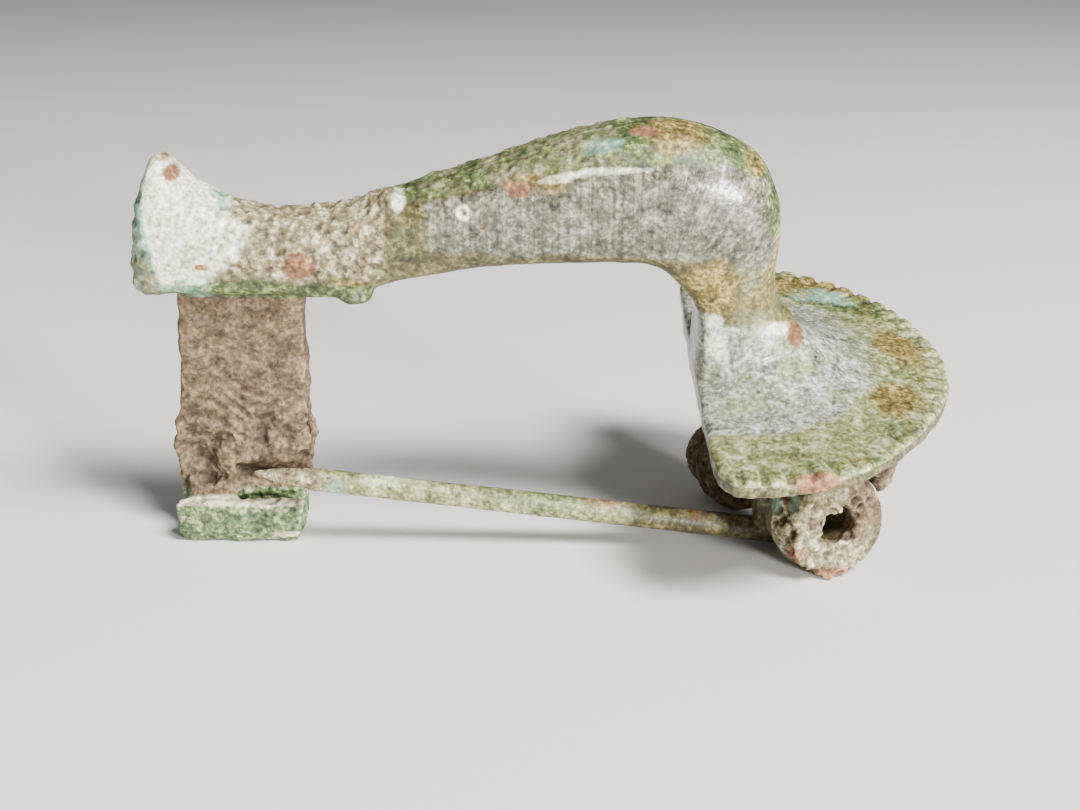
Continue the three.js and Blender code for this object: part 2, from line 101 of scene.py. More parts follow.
# %% Camera
CAMERA_PLACE = Vector((-0.45, -69.84, 30.36)) / MM
CAMERA_DOWN = math.radians(18.5)
LENS, SENSOR_WIDTH = 50, 36  # in mm
CLIP_START, CLIP_END = 0.005, 10  # in metres
camera_data = bpy.data.cameras.new("camera")
camera_data.lens = LENS
camera_data.sensor_width = SENSOR_WIDTH
camera_data.clip_start = CLIP_START
camera_data.clip_end = CLIP_END
camera = bpy.data.objects.new("camera", camera_data)
camera.location = CAMERA_PLACE
camera.rotation_euler = (math.pi / 2 - CAMERA_DOWN, 0, 0)
bpy.context.scene.collection.objects.link(camera)
bpy.context.scene.camera = camera
print("camera", [round(v, 4) for v in camera.location])

# %% [markdown]
# ## Tools for nodes
#
# Materials and Geometry Nodes are both trees of nodes, so one function serves both. It adds a node,
# sets its properties, and fills its inputs with plain values or with the outputs of other nodes.

# %% Add a node
def add(tree, kind, inputs=(), **settings):
    """Adds a node. inputs maps an input's name or number to a value or to another node's output."""
    node = tree.nodes.new(kind)
    for name, value in settings.items():
        setattr(node, name, value)
    for key, value in dict(inputs).items():
        if isinstance(value, bpy.types.NodeSocket):
            tree.links.new(value, node.inputs[key])
        else:
            node.inputs[key].default_value = value
    return node


def linear(code):
    """An sRGB colour such as "#8f8a5e" as linear red, green, blue and alpha."""
    shares = [int(code[i : i + 2], 16) / 255 for i in (1, 3, 5)]
    return [s / 12.92 if s <= 0.04045 else ((s + 0.055) / 1.055) ** 2.4 for s in shares] + [1.0]


# %% A Geometry Nodes tree and how it is run
def geometry_tree(name, **sizes):
    """An empty tree with a geometry input, a named input for each size, and one output."""
    tree = bpy.data.node_groups.new(name, "GeometryNodeTree")
    tree.interface.new_socket("Geometry", in_out="INPUT", socket_type="NodeSocketGeometry")
    for size, value in sizes.items():
        kind = "NodeSocketInt" if isinstance(value, int) else "NodeSocketFloat"
        tree.interface.new_socket(size, in_out="INPUT", socket_type=kind).default_value = value
    tree.interface.new_socket("Geometry", in_out="OUTPUT", socket_type="NodeSocketGeometry")
    return tree, add(tree, "NodeGroupInput").outputs


bare_metal = bpy.data.materials.new("bare metal")


def finish_tree(tree, geometry):
    """Ends a tree in real geometry with a working material, which the finish later replaces."""
    real = add(tree, "GeometryNodeRealizeInstances", {0: geometry})
    dressed = add(tree, "GeometryNodeSetMaterial", {"Geometry": real.outputs[0], "Material": bare_metal})
    add(tree, "NodeGroupOutput", {0: dressed.outputs[0]})


def evaluated(mesh, settings):
    """A new mesh: the given one after one modifier, which settings puts on a working object."""
    worker = bpy.data.objects.new("worker", mesh)
    bpy.context.scene.collection.objects.link(worker)
    settings(worker)
    depsgraph = bpy.context.evaluated_depsgraph_get()
    result = bpy.data.meshes.new_from_object(worker.evaluated_get(depsgraph))
    bpy.data.objects.remove(worker)
    return result


def run_tree(mesh, tree, **sizes):
    """A new mesh: what the tree makes of this one, with some of its inputs set by name."""
    def settings(worker):
        modifier = worker.modifiers.new("tree", "NODES")
        modifier.node_group = tree
        for item in tree.interface.items_tree:
            if item.name in sizes:
                modifier[item.identifier] = sizes[item.name]

    return evaluated(mesh, settings)


def fused(mesh, voxel):
    """A new mesh: one closed skin round everything in this one, of even faces of about that size."""
    def settings(worker):
        modifier = worker.modifiers.new("skin", "REMESH")
        modifier.mode = "VOXEL"
        modifier.voxel_size = voxel

    return evaluated(mesh, settings)


# %% [markdown]
# ## Places on the brooch
#
# Patina isn't even: each stretch of the brooch has its own. Painting it by hand would be quickest,
# but nothing could be changed afterwards without painting again. Here every kind of patina is a
# number between 0 and 1 at each point of the mesh, worked out from a short list of places. The
# same numbers then steer both the relief and the colours, so that a crusty colour is on real crust.

# %% Measures on a mesh
def places_of(mesh):
    """The points of a mesh, as rows of x, y, z."""
    flat = np.empty(len(mesh.vertices) * 3, np.float32)
    mesh.vertices.foreach_get("co", flat)
    return flat.reshape(-1, 3).astype(float)


def step(value, low, high):
    """0 below low, 1 above high, and smooth between them. low may be the larger of the two."""
    share = np.clip((value - low) / (high - low), 0, 1)
    return share * share * (3 - 2 * share)


def spots(points, *places):
    """Where any of the places is: each is x, y, z, a radius along each of them, and a strength."""
    total = np.zeros(len(points))
    for *centre, rx, ry, rz, strength in places:
        reach = (((points - centre) / (rx, ry, rz)) ** 2).sum(1)
        total = np.maximum(total, strength * np.exp(-reach))
    return total


def store(mesh, **fields):
    """Keeps a number at every point of a mesh, for each name."""
    for name, values in fields.items():
        attribute = mesh.attributes.get(name) or mesh.attributes.new(name, "FLOAT", "POINT")
        attribute.data.foreach_set("value", np.asarray(values).astype(np.float32))


# %% The casting's regions
CRUST_FROM_X, CRUST_TO_X = -14.4, -6.9
KNEE_CENTRE, KNEE_RADIUS = (5.2, 13.5), 4.2
PLATE_TOP_Z = 9.25
PLATE_CENTRE, PLATE_RADII = np.array((9.4, 0.25)), np.array((10.2, 10.95))
NECK_CENTRE_X = 8.7
COLLAR_Z = 11.6
# The lower edge of the crusted band along the back of the bow.
BAND_X = (-7, -4, -1.9, 0.2, 2.2, 5.2, 8, 9.7)
BAND_Z = (17.9, 18.4, 19.0, 19.4, 19.9, 20.1, 20.0, 19.4)


def along_bow(x, z):
    """How far along the bow a place is: straight on to the knee, round it, and down the neck."""
    right, up = x - KNEE_CENTRE[0], z - KNEE_CENTRE[1]
    past_knee = right > 0
    bend = KNEE_RADIUS * np.arctan2(np.maximum(right, 0), np.maximum(up, 0.01))
    return np.minimum(x, KNEE_CENTRE[0]) + bend * past_knee + np.maximum(-up, 0) * past_knee


def casting_regions(mesh):
    """How far each point of the casting belongs to each of its regions, from 0 to 1."""
    p = places_of(mesh)
    x, y, z = p.T
    bow = step(z, 12.7, 13.2)
    plate = step(z, 12.6, 10.4) * step(z, 8.0, 8.5) * step(x, 6.9, 7.3)
    inwards = 1 - np.hypot(*((p[:, :2] - PLATE_CENTRE) / PLATE_RADII).T)
    over_band = z - np.interp(x, BAND_X, BAND_Z)
    round_neck = step(np.abs(x - 9.5) + np.abs(y) * 0.6, 4.2, 2.8)
    return {
        "points": p,
        "foot": bow * step(x, CRUST_FROM_X + 1.2, CRUST_FROM_X - 1.2),
        "slim": bow
        * step(x, CRUST_FROM_X - 1.6, CRUST_FROM_X + 0.8)
        * step(x, CRUST_TO_X + 0.7, CRUST_TO_X - 0.7),
        "side": bow * step(x, -7.6, -5.6),
        "band": step(over_band, -0.3, 0.35) * step(x, -7.4, -5.4),
        "band_edge": np.exp(-((over_band / 0.25) ** 2)) * step(x, -1.5, 0.5) * step(x, 6.5, 4.5),
        "neck": step(x, 6, 7.5) * step(z, 17.2, 15) * step(z, 8.8, 9.6),
        "collar": step(x, 7, 7.5) * np.exp(-(((z - COLLAR_Z) / 0.9) ** 2)) * round_neck,
        "catch": step(z, 13.3, 12.8) * step(x, -9, -10),
        "top": plate * step(z, PLATE_TOP_Z - 0.35, PLATE_TOP_Z - 0.1),
        "rim": inwards * PLATE_RADII.mean(),  # in mm from the edge of the head plate
        "below": step(z, 8.75, 8.35) * step(x, 6, 7),
        "back": step(x, 7.75, 7.5) * step(x, 6.4, 6.9) * step(z, 14.5, 13),
    }


# %% Patches of patina on the casting
# Each patch is x, y, z, its reach along each of them, and its strength.
CASTING_PATCHES = {
    "crust": (
        (16.8, -1.4, 5.5, 1.6, 2.6, 3.2, 1),  # on the lug's hook
        (15.4, -3, 7.8, 1.8, 2, 0.8, 0.9),  # between that hook and the head plate
    ),
    "grey": (
        (8.4, -2.6, 18.7, 2.6, 3, 2.6, 0.8),  # the side of the knee
        (9.9, -2.3, 15.2, 1.1, 1.6, 1.6, 1),  # the neck
        (9.2, -2, 12.6, 1.6, 2, 0.8, 0.3),
    ),
    "green": (
        (-13.5, -1.6, 13.8, 4.5, 2.5, 0.6, 0.9),  # the lower edge of the foot
        (10.6, -1, 18, 1, 3, 2.4, 0.8),  # the front of the knee
        (-6.2, -1.6, 16.4, 1.2, 2, 1.6, 0.5),
        (5, 0, 14.6, 8, 3, 0.7, 0.45),  # under the bow
        (15, 7.1, 9.3, 3, 2, 1, 0.5),  # the far rim of the head plate
    ),
    "verdigris": (
        (-15.8, -0.6, 18.2, 2.2, 1.6, 0.9, 1),  # the slope behind the foot's tip
        (-17.2, -1.6, 17.5, 0.9, 1, 1.4, 0.65),
        (-17, -1.6, 15.9, 0.8, 1, 1, 0.55),
        (2.9, -1.2, 20.7, 1.4, 1.2, 0.7, 0.62),  # the back of the bow
        (-5.6, -1.6, 17.2, 0.9, 1.5, 0.8, 0.5),
        (15, 7.1, 9.4, 2.4, 1.5, 1, 0.7),  # the far rim of the head plate
        (-9, -1.5, 15.6, 0.6, 1, 0.5, 0.35),
    ),
    "ochre": (
        (6, -1, 21, 2.4, 2.5, 0.9, 0.8),  # the top of the knee
        (9.6, -0.8, 19.9, 1, 1.6, 0.9, 0.8),
        (0, -1.6, 19.3, 1.6, 1.5, 0.7, 0.8),
        (10.8, -1.2, 16, 0.5, 1.6, 1.2, 0.7),
        (-17.2, -1.6, 14.7, 0.6, 1, 0.6, 1),  # the foot
        (-8.4, -1.7, 14.4, 1.2, 1, 0.5, 0.8),
        (14.6, 8, 9.3, 2.4, 1.2, 1, 0.9),  # the rim of the head plate
        (17.3, 1.2, 9.3, 1.1, 1.6, 1, 0.75),
        (16.4, -3.6, 9.3, 1.3, 1.3, 1, 0.6),
    ),
    "rust": (
        (4.6, -0.9, 21.2, 0.75, 0.4, 0.35, 1.2),  # the back of the bow
        (-2.5, -2.25, 17.25, 0.22, 0.7, 0.5, 0.8),
        (-0.9, -2, 19, 0.7, 0.8, 0.4, 0.8),
        (-8.3, -1.7, 17, 1.1, 0.9, 0.7, 0.5),
        (-16.4, -0.6, 19.3, 0.5, 1.2, 0.5, 0.8),  # the foot's tip
        (-16.9, 0, 19.7, 0.5, 1, 0.4, 0.7),
        (-11.0, -1.6, 15.1, 0.8, 0.7, 0.7, 0.9),
        (-15.4, -1.8, 15.1, 0.4, 0.6, 0.2, 1),
        (12.1, -0.9, 11.4, 0.6, 1.5, 0.7, 1.1),  # the collar
        (11.7, -10.4, 9, 1.6, 0.8, 0.5, 0.9),  # the near rim of the head plate
    ),
    "chalk_and_highlight": (
        (-14.3, -1.6, 16.2, 1.6, 1.6, 1.2, 0.7),
        (-3.4, -2, 17.87, 0.32, 0.8, 0.32, 1.2),  # round the pit in the bow's side
        (-6.3, -0.9, 18, 0.5, 1, 0.8, 0.7),
        # painted highlights, not chalk: the white shine on the collar, on the lower neck and on the sweep of
        # the head plate
        (10.8, -1.6, 11.9, 1.6, 1.4, 0.35, 0.8),  # the collar
        (7.9, -2.3, 12.6, 0.7, 1, 0.6, 0.6),
        (8.2, -2.4, 11.3, 0.8, 1, 0.7, 0.8),
        (9.0, -5, 9.5, 1.6, 3, 1.2, 0.4),  # the sweep of the head plate
    ),
    "earth_and_shade": ((-17.9, -1, 13.9, 0.6, 1.5, 0.5, 0.6),),
    "lip": (
        (-14.9, -1.9, 2.45, 9, 0.5, 0.3, 1.0),  # the upper edge of the hook's lip
        (-12.6, -2.4, 0.7, 0.9, 0.7, 0.25, 1),
    ),
}


# %% The casting's patina
def casting_patina(mesh):
    """Stores how much of every kind of patina the casting has at each point, from 0 to 1."""
    r = casting_regions(mesh)
    p = r["points"]
    x, y, z = p.T
    nicked = r["top"] * step(r["rim"], 4.2, 2.0)
    front = step(y, 0.6, -0.3)
    foot_end = r["foot"] * step(x + 0.09 * (z - 14), -17.2, -17.7)
    side = r["side"] * (1 - r["band"])
    above_hook = step(z, 1.9, 2.7)
    patch = {kind: spots(p, *places) for kind, places in CASTING_PATCHES.items()}
    fields = {
        "crust": 0.95 * r["slim"] * step(z, 13.6, 15.2)
        + 0.45 * r["band"] * step(x, 5.5, 3)
        + 0.5 * foot_end
        + patch["crust"],
        "grey": 0.9 * side * step(z, 15.2, 16.6) * step(x, -6.4, -4) * (1 - 0.6 * r["neck"])
        + 0.8 * r["back"]
        + patch["grey"],
        # silver-grey patina, and painted light: the head plate's top face and the left part of the collar are
        # painted paler, as if lit
        "silver": 0.95 * (r["top"] * (1 - nicked)) + 0.8 * r["collar"] * step(x, 12, 10.5),
        "sage": nicked + 0.35 * r["band"] + 0.4 * r["neck"] + 0.3 * r["foot"],
        "green": 0.85 * r["band"]
        + 0.42 * nicked
        + 0.75 * r["slim"] * step(z, 14.6, 13.6)
        + patch["green"],
        "verdigris": 0.42 * r["foot"] + patch["verdigris"],
        "ochre": 0.55 * r["neck"] * step(x, 9.2, 8) * step(z, 12.6, 14)
        + 0.5 * side * step(z, 16, 14.8)
        + 0.35 * nicked
        + patch["ochre"],
        "rust": patch["rust"],
        # chalk on the foot and along the edge of the band, and from the patches also painted highlights on
        # the collar, the neck and the head plate
        "chalk_and_highlight": 0.75 * r["foot"] * (1 - foot_end) * step(z, 13.6, 14.6)
        + 0.62 * r["band_edge"]
        + patch["chalk_and_highlight"],
        "earth_and_shade": r["catch"] * above_hook
        + 0.9 * r["catch"] * (1 - front)
        + 0.6 * r["below"]
        + patch["earth_and_shade"],
        "rough": r["catch"] * step(z, 9, 6) * above_hook,
        "hook": r["catch"] * step(z, 2.7, 2.2) * front,
        "lip": r["catch"] * front * patch["lip"],
    }
    store(mesh, **{kind: np.clip(values, 0, 1) for kind, values in fields.items()})
    store(mesh, along=along_bow(x, z), across=np.where(r["side"] > 0.5, y, z))


# %% [markdown]
# ## Relief
#
# Corrosion raises a surface in some places and eats it away in others, at every size from a
# millimetre down. Displacement in a material is lost when the model is exported, so the relief is
# in the mesh. One Geometry Nodes tree makes it for all three pieces. It evens out the facets of the
# CAD solid, adds up layers of noise, grains and pits, each as strong as its kind of patina is at
# that point, and moves the points along their normals by the sum. Last it compares every point
# with its neighbours, so that the finish knows hollows from crests.

# %% Small tools for the trees
def math_node(tree, operation, *values):
    """The output of a sum of that kind."""
    return add(tree, "ShaderNodeMath", dict(enumerate(values)), operation=operation).outputs[0]


def named(tree, name):
    """The output of a node that reads a number kept on the points."""
    return add(tree, "GeometryNodeInputNamedAttribute", {"Name": name}, data_type="FLOAT").outputs[0]


def link_by_name(tree, node, name, value):
    """Links a value to the input of that name that the node's settings leave in use."""
    socket = next(s for s in node.inputs if s.enabled and s.name == name)
    tree.links.new(value, socket)
    return next(s for s in node.outputs if s.enabled)


def blurred(tree, value, iterations, weight=None):
    """A place or direction evened out with those of the points round it."""
    blur = add(tree, "GeometryNodeBlurAttribute", {"Iterations": iterations}, data_type="FLOAT_VECTOR")
    if weight is not None:
        link_by_name(tree, blur, "Weight", weight)
    return link_by_name(tree, blur, "Value", value)


def layer_shape(tree, pattern, size, fine):
    """A pattern from 0 to 1, or about its middle for noise. size is its spacing in mm."""
    if pattern == "noise":
        noise = add(tree, "ShaderNodeTexNoise", {"Scale": 1 / size, "Detail": fine, "Roughness": 0.6})
        return math_node(tree, "SUBTRACT", noise.outputs[0], 0.5)
    cells = add(tree, "ShaderNodeTexVoronoi", {"Scale": 1 / size, "Randomness": 1.0})
    reach = {"Value": cells.outputs["Distance"], 1: fine, 2: 0.0, 3: 0.0, 4: 1.0}
    return add(tree, "ShaderNodeMapRange", reach, interpolation_type="SMOOTHSTEP").outputs[0]


# %% The relief tree
NICK_COUNT = 34
NICK_ARC = math.radians(200)
NICK_DEPTH = 0.11
NICK_EDGE, NICK_BOTTOM = -0.2, -1.0  # of the wave that runs along the edge
HOLLOW_REACH = 5  # how many points away a hollow is compared with


def nick_relief(tree, position):
    """The short grooves along the curved edge of the head plate."""
    place = add(tree, "ShaderNodeSeparateXYZ", {0: position}).outputs
    turn = math_node(tree, "ARCTAN2", place["Y"], math_node(tree, "SUBTRACT", place["X"], NECK_CENTRE_X))
    wave = math_node(tree, "COSINE", math_node(tree, "MULTIPLY", turn, NICK_COUNT * 2 * math.pi / NICK_ARC))
    ends = {"Value": wave, 1: NICK_EDGE, 2: NICK_BOTTOM, 3: 0.0, 4: -NICK_DEPTH}
    groove = add(tree, "ShaderNodeMapRange", ends).outputs[0]
    return math_node(tree, "MULTIPLY", groove, named(tree, "nicked"))


def summed_relief(tree, layers, position, with_nicks):
    """How far each point is moved out: its mound, and every layer where its kind of patina is."""
    total = named(tree, "mound")
    for pattern, kind, size, fine, height in layers:
        raised = math_node(tree, "MULTIPLY", layer_shape(tree, pattern, size, fine), height)
        if kind:
            raised = math_node(tree, "MULTIPLY", raised, named(tree, kind))
        total = math_node(tree, "ADD", total, raised)
    if with_nicks:
        total = math_node(tree, "ADD", total, nick_relief(tree, position))
    return total


def relief_tree(name, layers, with_nicks=False):
    """layers: pattern, kind of patina ("" is everywhere), spacing in mm, detail or fill, height in mm."""
    tree, given = geometry_tree(name, smoothing=6)
    position = add(tree, "GeometryNodeInputPosition").outputs[0]
    evened = blurred(tree, position, given["smoothing"], named(tree, "smooth"))
    even = add(tree, "GeometryNodeSetPosition", {"Geometry": given["Geometry"], "Position": evened})
    normal = add(tree, "GeometryNodeInputNormal").outputs[0]
    total = summed_relief(tree, layers, position, with_nicks)
    offset = add(tree, "ShaderNodeVectorMath", {0: normal, "Scale": total}, operation="SCALE").outputs[0]
    moved = add(tree, "GeometryNodeSetPosition", {"Geometry": even.outputs[0], "Offset": offset})
    around = blurred(tree, position, HOLLOW_REACH)
    apart = add(tree, "ShaderNodeVectorMath", {0: around, 1: position}, operation="SUBTRACT").outputs[0]
    depth = add(tree, "ShaderNodeVectorMath", {0: apart, 1: normal}, operation="DOT_PRODUCT")
    kept = add(
        tree,
        "GeometryNodeStoreNamedAttribute",
        {"Geometry": moved.outputs[0], "Name": "hollow"},
        data_type="FLOAT",
        domain="POINT",
    )
    link_by_name(tree, kept, "Value", depth.outputs["Value"])
    smooth = add(tree, "GeometryNodeSetShadeSmooth", {"Geometry": kept.outputs[0]})
    add(tree, "NodeGroupOutput", {0: smooth.outputs[0]})
    return tree


# %% Grains of crust
SMALLEST_GRAIN = 0.45  # as a share of the largest


def grain_tree(name, kind, **sizes):
    """Scatters small lumps over a mesh, half sunk, where it has a kind of patina."""
    tree, given = geometry_tree(name, seed=1, **sizes)
    amount = math_node(tree, "MULTIPLY", named(tree, kind), given["density"])
    points = add(
        tree,
        "GeometryNodeDistributePointsOnFaces",
        {"Mesh": given["Geometry"], "Density": amount, "Seed": given["seed"]},
    ).outputs
    grain = add(tree, "GeometryNodeMeshIcoSphere", {"Radius": 1.0, "Subdivisions": 2})
    spread = add(tree, "FunctionNodeRandomValue", data_type="FLOAT")
    for socket, value in zip([s for s in spread.inputs if s.enabled], (SMALLEST_GRAIN, 1.0)):
        socket.default_value = value
    share = next(s for s in spread.outputs if s.enabled)
    width = math_node(tree, "MULTIPLY", share, given["size"])
    height = math_node(tree, "MULTIPLY", width, given["flatness"])
    lump = add(tree, "ShaderNodeCombineXYZ", {0: width, 1: width, 2: height}).outputs[0]
    scattered = {"Points": points["Points"], "Rotation": points["Rotation"]}
    scattered.update({"Instance": grain.outputs[0], "Scale": lump})
    grains = add(tree, "GeometryNodeInstanceOnPoints", scattered)
    both = add(tree, "GeometryNodeJoinGeometry")
    tree.links.new(given["Geometry"], both.inputs[0])
    tree.links.new(grains.outputs[0], both.inputs[0])
    finish_tree(tree, both.outputs[0])
    return tree


# %% Meshes from the CAD nodes, and what is joined to them
SAME_POINT = 1e-3  # mm apart or less
LUMP_DETAIL = 3


def in_brooch(node):
    """A merged copy of a CAD node's mesh, in brooch coordinates."""
    copy = bmesh.new()
    copy.from_mesh(frame["nodes"][node].data)
    copy.transform(to_brooch)
    bmesh.ops.remove_doubles(copy, verts=copy.verts, dist=SAME_POINT)
    mesh = bpy.data.meshes.new(node + "_copy")
    copy.to_mesh(mesh)
    copy.free()
    return mesh


def with_lumps(mesh, lumps):
    """The mesh and a rough ball for each lump: x, y, z and its radius along each of them."""
    both = bmesh.new()
    both.from_mesh(mesh)
    for x, y, z, rx, ry, rz in lumps:
        place = Matrix.Translation((x, y, z)) @ Matrix.Diagonal((rx, ry, rz, 1))
        bmesh.ops.create_icosphere(both, subdivisions=LUMP_DETAIL, radius=1, matrix=place)
    both.to_mesh(mesh)
    both.free()
    return mesh


def joined(meshes):
    """One mesh with the faces of all of them."""
    both = bmesh.new()
    for mesh in meshes:
        both.from_mesh(mesh)
    result = bpy.data.meshes.new("joined")
    both.to_mesh(result)
    both.free()
    return result


def thinned(mesh, faces):
    """A new mesh with about that many triangles, fewest where the surface is plain."""
    def settings(worker):
        modifier = worker.modifiers.new("thin", "DECIMATE")
        modifier.ratio = min(1, faces / (2 * len(mesh.polygons)))

    return evaluated(mesh, settings)


def on_scene(mesh, name, body, node, material):
    """Puts a finished mesh, in brooch coordinates, into the scene in place of its CAD node."""
    mesh.transform(to_frame)
    inside = np.clip(places_of(mesh), np.array(cad_box[0]), np.array(cad_box[1]))
    mesh.vertices.foreach_set("co", inside.astype(np.float32).ravel())
    mesh.name = name
    mesh.materials.clear()
    mesh.materials.append(material)
    piece = bpy.data.objects.new(name, mesh)
    bpy.context.scene.collection.objects.link(piece)
    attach(piece, body)
    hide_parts(node)
    print(name, len(mesh.polygons), "faces")
    return piece


# %% [markdown]
# ## Patina
#
# Each kind of patina is a run of colours laid out by noise, and a roughness. They are laid over the
# bare olive patina one after another, each as far as its attribute reaches and with a ragged edge.
# Without that edge they would look cut out with scissors. Three noises, coarse, middling and fine,
# serve every kind, because a noise has three unrelated channels. Scraping marks run across the bow,
# so their noise is stretched in coordinates that follow it: fine along the bow, long across it.

# %% The kinds of patina
OLIVE = ("#1f1c0f", "#504a2b", "#8a8455")
OLIVE_ROUGHNESS = 0.45
# Each kind: its name, its colours from dark to light, and its roughness. A later one covers.
PATINAS = (
    ("grey", ("#24231d", "#625f50", "#a3a28e"), 0.24),
    # pale silver-grey patina, also used as painted light on the head plate, the collar and the pin
    ("silver", ("#43463c", "#8a8e7e", "#cfd1c1"), 0.28),
    ("sage", ("#2f3519", "#7d8352", "#c6c79c"), 0.5),
    ("green", ("#10180a", "#45522a", "#98a566"), 0.5),
    ("ochre", ("#2c2410", "#6f5f2c", "#b5a262"), 0.5),
    ("crust", ("#2e2717", "#807452", "#d0c7a6"), 0.8),
    ("verdigris", ("#3f6150", "#7b9f86", "#b4cfb8"), 0.6),
    # chalky crust, also used for painted highlights on the collar, the neck, the head plate and the pin
    ("chalk_and_highlight", ("#8a916c", "#cfd3b4", "#f2f1e2"), 0.6),
    ("rust", ("#3a2213", "#7a5033", "#a97f58"), 0.7),
    # earth, also used as painted shadow on the pin under the head plate
    ("earth_and_shade", ("#2a2014", "#5f4d36", "#8f7c61"), 0.95),
    ("hook", ("#1d2a17", "#55663d", "#a6a67f"), 0.55),
    ("lip", ("#a39a7c", "#cfc8a8", "#e4dfc6"), 0.7),
)
COARSE, MIDDLING, FINE = (2.2, 3.0), (0.7, 3.0), (0.22, 2.0)  # spacing in mm, and detail
TONE_RANGE = (0.34, 0.66)  # of a noise, from a kind's darkest colour to its lightest
# A kind shows where its amount is more than the noise, as far as these say.
AMOUNT_GAIN, COARSE_GAIN, TONE_GAIN = 2.8, 2.4, 1.8
SHOWN_RANGE = (-1.05, -0.35)
HOLLOW_DEPTH = 0.05  # in mm, of a full hollow or a full crest
CREST_LIGHT, HOLLOW_LIGHT = 1.25, 0.4
GRAIN_RANGE, GRAIN_LIGHT = (0.35, 0.65), (0.78, 1.2)
GRAIN_BUMP, MARK_BUMP = 0.02, 0.012  # in mm
MARK_SPACING = (0.16, 1.6)  # in mm, along the bow and across it


# %% The finish
def ramp(tree, factor, colours):
    """A kind's colours spread evenly over the range of a noise."""
    node = add(tree, "ShaderNodeValToRGB", {"Fac": factor})
    stops = node.color_ramp.elements
    while len(stops) < len(colours):
        stops.new(0.5)
    low, high = TONE_RANGE
    for number, (stop, colour) in enumerate(zip(stops, colours)):
        stop.position = low + (high - low) * number / (len(colours) - 1)
        stop.color = linear(colour)
    return node.outputs[0]


def channels(tree, place, spacing, detail):
    """The three unrelated channels of a noise with that spacing in mm."""
    inputs = {"Vector": place, "Scale": MM / spacing, "Detail": detail, "Roughness": 0.6}
    noise = add(tree, "ShaderNodeTexNoise", inputs)
    return add(tree, "ShaderNodeSeparateColor", {0: noise.outputs["Color"]}).outputs


def amount_of(tree, name):
    """The output of a node that reads a number kept on the points, in a material."""
    return add(tree, "ShaderNodeAttribute", attribute_name=name).outputs["Fac"]


def between(tree, value, ends, results=(0.0, 1.0)):
    """A value stretched from one range to another."""
    inputs = {"Value": value, 1: ends[0], 2: ends[1], 3: results[0], 4: results[1]}
    return add(tree, "ShaderNodeMapRange", inputs).outputs[0]


def laid_over(tree, kinds, coarse, tones):
    """The colour and the roughness of all kinds, each laid over the ones before it."""
    colour, rough = ramp(tree, tones[0], OLIVE), OLIVE_ROUGHNESS
    for number, (kind, colours, roughness) in enumerate(kinds):
        amount = amount_of(tree, kind)
        fray = math_node(tree, "MULTIPLY", tones[(number + 1) % 3], TONE_GAIN)
        ragged = math_node(tree, "MULTIPLY_ADD", coarse[number % 3], COARSE_GAIN, fray)
        less = math_node(tree, "MULTIPLY", ragged, -1.0)
        shown = between(tree, math_node(tree, "MULTIPLY_ADD", amount, AMOUNT_GAIN, less), SHOWN_RANGE)
        tone = ramp(tree, tones[number % 3], colours)
        colour = add(tree, "ShaderNodeMix", {0: shown, 6: colour, 7: tone}, data_type="RGBA").outputs[2]
        rough = add(tree, "ShaderNodeMix", {0: shown, 2: rough, 3: roughness}, data_type="FLOAT").outputs[0]
    return colour, rough


def scraping_marks(tree, strength):
    """Fine lines across the bow, lighter and darker, where it is grey."""
    place = add(tree, "ShaderNodeCombineXYZ", {0: amount_of(tree, "along"), 1: amount_of(tree, "across")})
    fineness = (1 / MARK_SPACING[0], 1 / MARK_SPACING[1], 1.0)
    lines = add(tree, "ShaderNodeMapping", {"Vector": place.outputs[0], "Scale": fineness})
    noise = add(tree, "ShaderNodeTexNoise", {"Vector": lines.outputs[0], "Scale": 1.0, "Detail": 2.0})
    where = math_node(tree, "MULTIPLY", amount_of(tree, "grey"), strength)
    return math_node(tree, "MULTIPLY", math_node(tree, "SUBTRACT", noise.outputs[0], 0.5), where)


def patina_material(name, marks=0.0):
    """marks is how strong the scraping marks across the bow are."""
    material = bpy.data.materials.new(name)
    material.use_nodes = True
    tree = material.node_tree
    tree.nodes.clear()
    place = add(tree, "ShaderNodeTexCoord").outputs["Object"]
    coarse = channels(tree, place, *COARSE)
    middle = channels(tree, place, *MIDDLING)
    fine = channels(tree, place, *FINE)
    tones = []
    for channel in range(3):
        finer = math_node(tree, "SUBTRACT", fine[channel], middle[channel])
        tones.append(math_node(tree, "MULTIPLY_ADD", finer, 0.5, middle[channel]))
    colour, rough = laid_over(tree, PATINAS, coarse, tones)
    ends = (-HOLLOW_DEPTH, HOLLOW_DEPTH)
    shade = between(tree, amount_of(tree, "hollow"), ends, (CREST_LIGHT, HOLLOW_LIGHT))
    light = math_node(tree, "MULTIPLY", shade, between(tree, fine[1], GRAIN_RANGE, GRAIN_LIGHT))
    height = math_node(tree, "MULTIPLY", fine[0], GRAIN_BUMP / MM)
    if marks:
        swing = scraping_marks(tree, marks)
        light = math_node(tree, "MULTIPLY", light, math_node(tree, "ADD", swing, 1.0))
        height = math_node(tree, "MULTIPLY_ADD", swing, MARK_BUMP / MM, height)
    lit = add(tree, "ShaderNodeVectorMath", {0: colour, "Scale": light}, operation="SCALE").outputs[0]
    bump = add(tree, "ShaderNodeBump", {"Strength": 0.8, "Distance": 1.0, "Height": height}).outputs[0]
    shader = add(tree, "ShaderNodeBsdfPrincipled", {"Base Color": lit, "Roughness": rough, "Normal": bump})
    add(tree, "ShaderNodeOutputMaterial", {"Surface": shader.outputs[0]})
    return material


